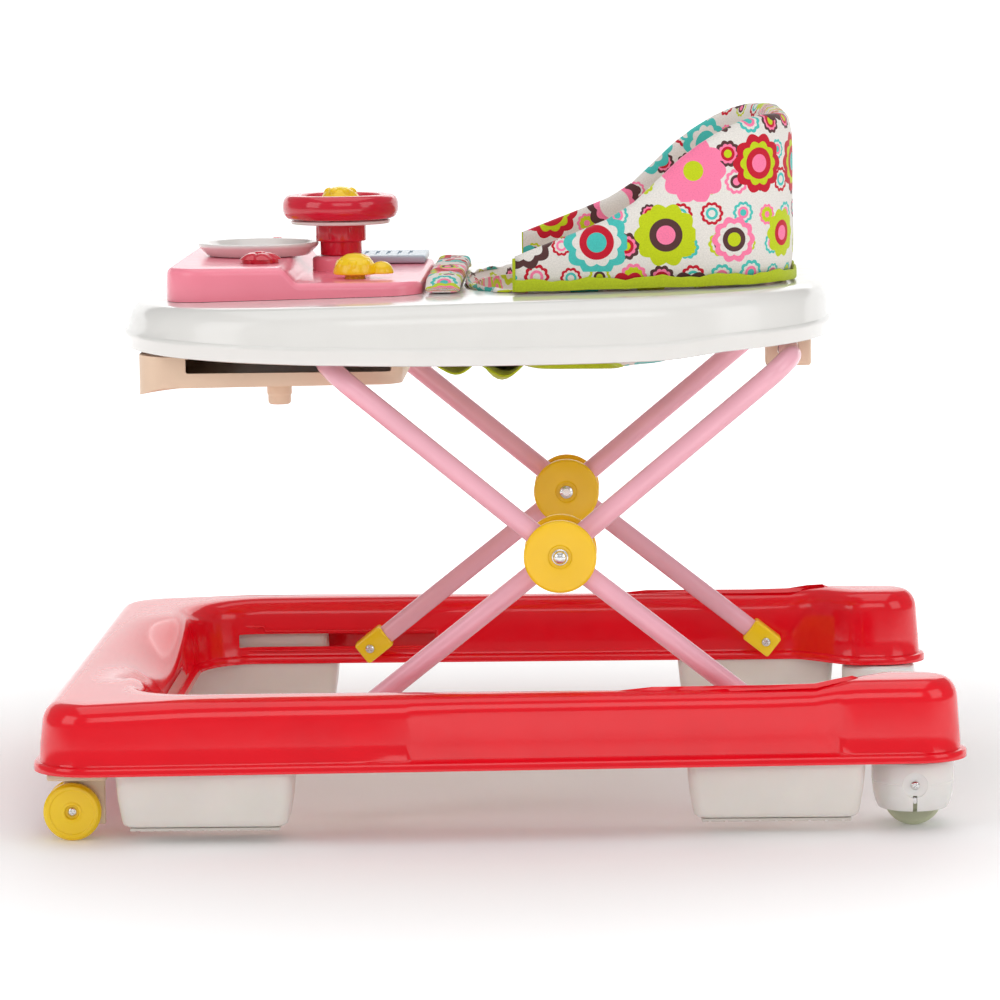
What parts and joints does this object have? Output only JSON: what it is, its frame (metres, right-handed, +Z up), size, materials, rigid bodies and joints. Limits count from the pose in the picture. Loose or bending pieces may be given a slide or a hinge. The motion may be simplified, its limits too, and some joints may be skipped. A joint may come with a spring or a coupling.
{
  "type": "baby walker",
  "caption": "Baby walker on casters with a U-shaped base, folding cross frame, round-cornered toy tray and padded printed seat.",
  "frame": {"origin": "centre of the bounding box's floor face", "axes": "+X from the toy end to the seat back, +Y to the child's right, +Z up"},
  "size_m": [0.7, 0.6, 0.537],
  "materials": {
    "red_gloss": "high gloss moulded",
    "pink_paint": "gloss powder coat",
    "pink_plastic": "satin gloss moulded",
    "white_gloss": "high gloss moulded",
    "natural_plastic": "translucent satin moulded",
    "beige_plastic": "satin moulded",
    "yellow_plastic": "gloss moulded",
    "steel": "bright zinc plate",
    "pad_rubber": "fine grain",
    "crimson_plastic": "gloss moulded",
    "pale_blue_plastic": "satin moulded",
    "cream_fabric": "printed woven cover"
  },
  "bodies": {
    "base": {"base_shell": "red_gloss", "anti_fall_block_front_left": "natural_plastic", "anti_fall_block_front_right": "natural_plastic", "anti_fall_block_rear_left": "natural_plastic", "anti_fall_block_rear_right": "natural_plastic", "grip_pad_front_left": "pad_rubber", "grip_pad_front_right": "pad_rubber", "grip_pad_rear_left": "pad_rubber", "grip_pad_rear_right": "pad_rubber", "front_caster_socket_left": "natural_plastic", "front_caster_socket_right": "natural_plastic", "rear_caster_housing_left": "natural_plastic", "rear_caster_housing_right": "natural_plastic", "rear_housing_screw_left": "steel", "rear_housing_screw_right": "steel", "rear_axle_left": "steel", "rear_axle_right": "steel"},
    "outer_frame": {"outer_frame_tube": "pink_paint", "outer_frame_cap_left": "yellow_plastic", "outer_frame_cap_right": "yellow_plastic", "outer_frame_cap_screw_left": "steel", "outer_frame_cap_screw_right": "steel", "hub_disc_outer_left": "yellow_plastic", "hub_disc_outer_right": "yellow_plastic", "hub_bolt_left": "steel", "hub_bolt_right": "steel"},
    "inner_frame": {"inner_frame_tube": "pink_paint", "slider_cap_left": "yellow_plastic", "slider_cap_right": "yellow_plastic", "slider_cap_screw_left": "steel", "slider_cap_screw_right": "steel", "hub_disc_inner_left": "yellow_plastic", "hub_disc_inner_right": "yellow_plastic"},
    "tray": {"tray_shell": "white_gloss", "track_pan": "beige_plastic", "rear_clip_left": "beige_plastic", "rear_clip_right": "beige_plastic", "toy_panel": "pink_plastic", "toy_dish": "white_gloss", "music_box": "pale_blue_plastic", "seat_back": "cream_fabric", "seat_sling": "cream_fabric", "seat_front_pad": "cream_fabric"},
    "steering": {"steering_column": "crimson_plastic", "steering_under_plate": "white_gloss", "steering_rim": "crimson_plastic"},
    "horn": {"horn_button": "yellow_plastic"},
    "dome_toy": {"dome_toy": "yellow_plastic"},
    "dish_spinner": {"dish_spinner": "yellow_plastic"},
    "height_latch": {"height_latch_peg": "beige_plastic"},
    "front_caster_left": {"front_caster_fork_left": "natural_plastic"},
    "front_wheel_left": {"front_wheel_left": "yellow_plastic", "front_axle_screw_left": "steel"},
    "rear_wheel_left": {"rear_wheel_left": "yellow_plastic"},
    "flower_left": {"flower_button_left": "crimson_plastic"},
    "front_caster_right": {"front_caster_fork_right": "natural_plastic"},
    "front_wheel_right": {"front_wheel_right": "yellow_plastic", "front_axle_screw_right": "steel"},
    "rear_wheel_right": {"rear_wheel_right": "yellow_plastic"},
    "flower_right": {"flower_button_right": "crimson_plastic"}
  },
  "joints": [
    {"name": "height_fold", "type": "hinge", "parent": "base", "child": "outer_frame", "pos_m": [0.214, 0, 0.0735], "axis": [0, 1, 0], "range_deg": [-28.5, 7]},
    {"name": "hub_pivot", "type": "hinge", "parent": "outer_frame", "child": "inner_frame", "pos_m": [0.046, 0, 0.206], "axis": [0, 1, 0], "range_deg": [-14, 57]},
    {"name": "tray_level", "type": "hinge", "parent": "inner_frame", "child": "tray", "pos_m": [0.222, 0, 0.3515], "axis": [0, 1, 0], "range_deg": [-28.5, 7]},
    {"name": "front_caster_swivel_left", "type": "hinge", "parent": "base", "child": "front_caster_left", "pos_m": [-0.317, -0.255, 0.05], "axis": [0, 0, 1], "continuous": true},
    {"name": "front_wheel_spin_left", "type": "hinge", "parent": "front_caster_left", "child": "front_wheel_left", "pos_m": [-0.321, -0.255, 0.0218], "axis": [0, 1, 0], "continuous": true},
    {"name": "rear_wheel_spin_left", "type": "hinge", "parent": "base", "child": "rear_wheel_left", "pos_m": [0.31, -0.226, 0.0225], "axis": [0, 1, 0], "continuous": true},
    {"name": "flower_press_left", "type": "slide", "parent": "tray", "child": "flower_left", "axis": [0, 0, -1], "range_m": [0, 0.0025], "stiffness_N_per_m": 300, "springref_m": -0.001},
    {"name": "front_caster_swivel_right", "type": "hinge", "parent": "base", "child": "front_caster_right", "pos_m": [-0.317, 0.255, 0.05], "axis": [0, 0, 1], "continuous": true},
    {"name": "front_wheel_spin_right", "type": "hinge", "parent": "front_caster_right", "child": "front_wheel_right", "pos_m": [-0.321, 0.255, 0.0218], "axis": [0, 1, 0], "continuous": true},
    {"name": "rear_wheel_spin_right", "type": "hinge", "parent": "base", "child": "rear_wheel_right", "pos_m": [0.31, 0.226, 0.0225], "axis": [0, 1, 0], "continuous": true},
    {"name": "flower_press_right", "type": "slide", "parent": "tray", "child": "flower_right", "axis": [0, 0, -1], "range_m": [0, 0.0025], "stiffness_N_per_m": 300, "springref_m": -0.001},
    {"name": "steering_turn", "type": "hinge", "parent": "tray", "child": "steering", "pos_m": [-0.1287, 0, 0.449], "axis": [0, 0, 1], "range_deg": [-120, 120]},
    {"name": "horn_press", "type": "slide", "parent": "steering", "child": "horn", "axis": [0, 0, -1], "range_m": [0, 0.0025], "stiffness_N_per_m": 300, "springref_m": -0.001},
    {"name": "dome_toy_press", "type": "slide", "parent": "tray", "child": "dome_toy", "axis": [0, 0, -1], "range_m": [0, 0.0025], "stiffness_N_per_m": 300, "springref_m": -0.001},
    {"name": "dish_spin", "type": "hinge", "parent": "tray", "child": "dish_spinner", "pos_m": [-0.1945, 0, 0.425], "axis": [0, 0, 1], "continuous": true},
    {"name": "latch_pull", "type": "slide", "parent": "tray", "child": "height_latch", "axis": [0, 0, -1], "range_m": [0, 0.006], "stiffness_N_per_m": 400, "springref_m": -0.001}
  ],
  "couplings": [
    {"joint": "hub_pivot", "follows": "height_fold", "ratio": -2},
    {"joint": "tray_level", "follows": "height_fold", "ratio": 1}
  ]
}
